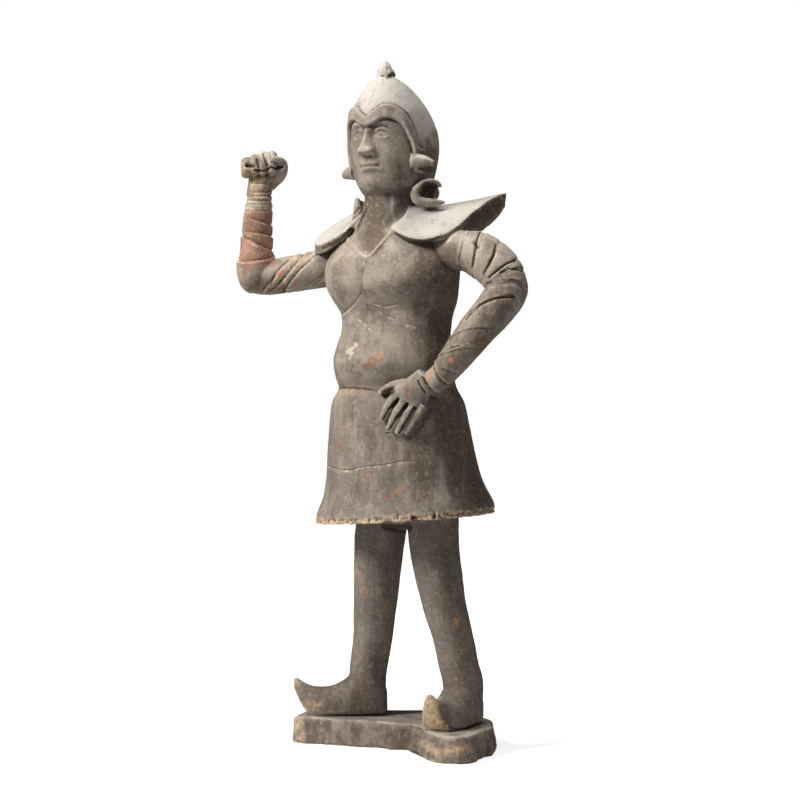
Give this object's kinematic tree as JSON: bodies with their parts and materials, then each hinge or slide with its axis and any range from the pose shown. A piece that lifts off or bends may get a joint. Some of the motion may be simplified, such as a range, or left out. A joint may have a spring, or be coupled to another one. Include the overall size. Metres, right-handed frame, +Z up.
{
  "type": "pottery soldier figure",
  "caption": "Standing grey pottery soldier in pointed helmet and flared skirt, one arm raised in a fist, the other on the hip, on its own irregular slab.",
  "frame": {"origin": "on the slab's flat underside, below the body's axis", "axes": "+Z up, the figure faces -Y, its left side is +X"},
  "size_m": [0.4149, 0.226, 0.8994],
  "materials": {
    "fired_clay": "matt grey-brown fired clay, worn, with pale dust and traces of orange-red pigment"
  },
  "bodies": {
    "root": {"pottery_soldier": "fired_clay"}
  },
  "joints": []
}
